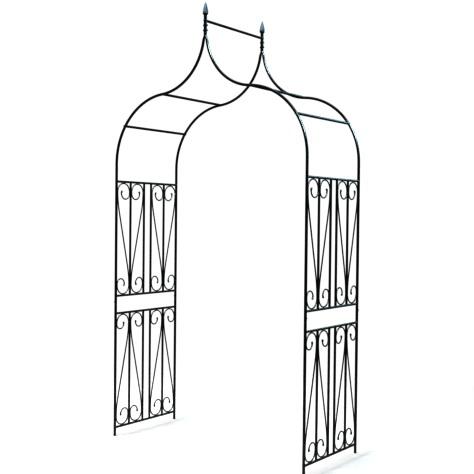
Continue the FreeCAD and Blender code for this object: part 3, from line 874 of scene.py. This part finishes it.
def nut_profile(length, _):
    """Dome nut with chamfered corners; 0 is its seat."""
    flats = hexagon(NUT_ACROSS_FLATS)
    corner = math.pi / 6
    pressed = chamfered(flats, NUT_ACROSS_FLATS / 2)
    whole = chamfered(flats, flats(corner) - NUT_CHAMFER / 3)
    profile = [
        (pressed, 0.0),
        (whole, NUT_CHAMFER),
        (whole, NUT_HEIGHT - NUT_CHAMFER),
        (pressed, NUT_HEIGHT),
        (DOME_R, NUT_HEIGHT),
    ]
    return profile + rounding(DOME_R, NUT_HEIGHT, DOME_FLAT_R, length)


def fasteners(name, node, profile_for, outwards_of, head_height):
    """One piece of all a node's fasteners; outwards_of says which way each one's head faces."""
    shape = bmesh.new()
    for low, high in solids(node):
        middle = (low + high) / 2
        outwards = outwards_of(middle)
        half_size = (high - low) / 2
        half_length = abs(half_size.dot(outwards))
        head_r = max(half_size - Vector([abs(part) for part in outwards]) * half_length)
        seat = middle + (half_length - head_height) * outwards
        profile = profile_for(2 * half_length, head_r)
        add_rings(shape, lathe(profile, seat, outwards))
    piece = add_piece(name, shape, FINISHES["blackened_fasteners"])
    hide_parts(node)


def to_frame_face(middle):
    """Away from the arch along Y."""
    return math.copysign(1, middle.y) * ALONG


def to_outer_side(middle):
    """Away from the arch along X."""
    return math.copysign(1, middle.x) * ACROSS


def to_left(_):
    return -ACROSS


def to_right(_):
    return ACROSS


fasteners("rail_bolts", "cross_rail_bolts", bolt_profile, to_frame_face, BOLT_HEAD_HEIGHT)
fasteners("post_bolts", "apex_bolts", bolt_profile, to_left, BOLT_HEAD_HEIGHT)
fasteners("post_nuts", "apex_nuts", nut_profile, to_right, NUT_HEIGHT + DOME_HEIGHT)
fasteners("joint_screws", "post_joint_screws", screw_profile, to_outer_side, SCREW_HEAD_HEIGHT)


# ---- studio -------------------------------------------------------------------------------

FLOOR_R = 2.6
FLOOR_SOLID_R = 1.3  # where the floor starts to fade out
FLOOR_CLEAR_R = 2.5  # where it can't be seen any more
FLOOR_SIDES = 96
FLOOR_COLOURS = ((0.88, 0.81, 0.79), (0.90, 0.83, 0.81))

BEAM = 40  # spread in degrees of the lights that are aimed at the crown
WARM_WHITE = (1.0, 0.985, 0.96)
COOL_WHITE = (0.80, 0.95, 1.0)
PALE_CYAN = (0.68, 0.94, 1.0)
CYAN = (0.40, 0.80, 0.95)

HORIZON_COLOUR = (0.05, 0.055, 0.05)
LOW_SKY = 0.25  # a direction's Z, from 0 at the horizon to 1 overhead
LOW_SKY_COLOUR = (0.16, 0.19, 0.20)
ZENITH_COLOUR = (0.93, 0.97, 1.0)
SKY_STRENGTH = 0.8
BACKDROP_STRENGTH = 1.02
VIEW_GAMMA = 0.57  # gives thin dark lines their weight and their deep black


def floor_material():
    """Pale matt floor that fades out towards its rim."""
    finish = Finish("pale_floor")
    tone = finish.spread(finish.noise(3.0, 3.0), 0.3, 0.7)
    colour = finish.mix(tone, *FLOOR_COLOURS)
    relief = finish.noise(60.0, 4.0)
    roughness = finish.spread(relief, 0.3, 0.7, 0.85, 0.95)
    material = finish.finish(colour, roughness, relief, 0.5 * MM, Specular_IOR_Level=0.0)
    distance = finish.node("ShaderNodeVectorMath", {0: finish.place}, operation="LENGTH").outputs["Value"]
    fade = finish.spread(distance, FLOOR_SOLID_R, FLOOR_CLEAR_R)
    clear = finish.node("ShaderNodeBsdfTransparent").outputs[0]
    blend = finish.node("ShaderNodeMixShader", {0: fade, 1: finish.shader.outputs[0], 2: clear})
    finish.tree.links.new(blend.outputs[0], finish.tree.nodes["Material Output"].inputs["Surface"])
    return material


def floor():
    shape = bmesh.new()
    bmesh.ops.create_circle(shape, cap_ends=True, radius=FLOOR_R, segments=FLOOR_SIDES)
    mesh = bpy.data.meshes.new("floor")
    shape.to_mesh(mesh)
    shape.free()
    piece = bpy.data.objects.new("floor", mesh)
    bpy.context.scene.collection.objects.link(piece)
    dress(piece, floor_material())


def area_light(name, place, aim, size, power, colour, spread=180, fills=True, glints=True):
    """A soft round light. One that fills lights matt surfaces, one that glints shows in gloss."""
    light = bpy.data.lights.new(name, "AREA")
    light.spread = math.radians(spread)
    light.shape = "DISK"
    light.size = size
    light.energy = power
    light.color = colour
    lamp = bpy.data.objects.new(name, light)
    bpy.context.scene.collection.objects.link(lamp)
    lamp.location = place
    lamp.rotation_mode = "QUATERNION"
    lamp.rotation_quaternion = (Vector(aim) - Vector(place)).to_track_quat("-Z", "Y")
    lamp.visible_camera = False
    lamp.visible_diffuse = fills
    lamp.visible_glossy = glints


def world():
    """White backdrop, and a dim sky for the light: bright overhead, dark near the horizon."""
    backdrop = bpy.data.worlds.new("studio")
    backdrop.use_nodes = True
    tree = backdrop.node_tree
    nodes = tree.nodes
    nodes.clear()
    output = nodes.new("ShaderNodeOutputWorld")
    direction = nodes.new("ShaderNodeTexCoord").outputs["Generated"]
    separate = nodes.new("ShaderNodeSeparateXYZ")
    tree.links.new(direction, separate.inputs[0])
    ramp = nodes.new("ShaderNodeValToRGB")
    tree.links.new(separate.outputs["Z"], ramp.inputs[0])
    stops = ramp.color_ramp.elements
    stops[0].color = (*HORIZON_COLOUR, 1)
    stops[1].color = (*ZENITH_COLOUR, 1)
    stops.new(LOW_SKY).color = (*LOW_SKY_COLOUR, 1)
    sky = nodes.new("ShaderNodeBackground")
    tree.links.new(ramp.outputs[0], sky.inputs["Color"])
    sky.inputs["Strength"].default_value = SKY_STRENGTH
    white = nodes.new("ShaderNodeBackground")
    white.inputs["Color"].default_value = (1, 1, 1, 1)
    white.inputs["Strength"].default_value = BACKDROP_STRENGTH
    seen = nodes.new("ShaderNodeLightPath").outputs["Is Camera Ray"]
    mix = nodes.new("ShaderNodeMixShader")
    tree.links.new(seen, mix.inputs[0])
    tree.links.new(sky.outputs[0], mix.inputs[1])
    tree.links.new(white.outputs[0], mix.inputs[2])
    tree.links.new(mix.outputs[0], output.inputs["Surface"])
    bpy.context.scene.world = backdrop


def camera():
    """Stands in front of the arch and to its right, at about chest height."""
    forwards = Vector(
        (
            -math.sin(CAMERA_YAW) * math.cos(CAMERA_PITCH),
            math.cos(CAMERA_YAW) * math.cos(CAMERA_PITCH),
            math.sin(CAMERA_PITCH),
        )
    )
    level_right = forwards.cross(UP).normalized()
    level_up = level_right.cross(forwards)
    right = math.cos(CAMERA_ROLL) * level_right + math.sin(CAMERA_ROLL) * level_up
    up = math.cos(CAMERA_ROLL) * level_up - math.sin(CAMERA_ROLL) * level_right
    data = bpy.data.cameras.new("camera")
    data.sensor_width = CAMERA_SENSOR
    data.lens = CAMERA_LENS
    viewer = bpy.data.objects.new("camera", data)
    bpy.context.scene.collection.objects.link(viewer)
    turned = Matrix((right, up, -forwards)).transposed().to_4x4()
    viewer.matrix_world = Matrix.Translation(CAMERA_PLACE) @ turned
    bpy.context.scene.camera = viewer


floor()
world()
area_light("overhead", (0, 0, 7.5), (0, 0, 0), size=6.5, power=430, colour=COOL_WHITE)
area_light("key", (-4.2, -7.7, 4.8), (0, 0, 1.3), size=2.8, power=820, colour=WARM_WHITE, glints=False)
area_light("sky_side", (1.3, 3.2, 2.7), (0.5, 0, 1.7), size=2.0, power=8, colour=CYAN, spread=BEAM)
area_light(
    "crown_rim",
    (3.3, -0.4, 4.7),
    (0.4, 0, 1.9),
    size=3.2,
    power=210,
    colour=PALE_CYAN,
    spread=BEAM,
    fills=False,
)
camera()
bpy.context.scene.view_settings.view_transform = "Standard"
bpy.context.scene.view_settings.gamma = VIEW_GAMMA
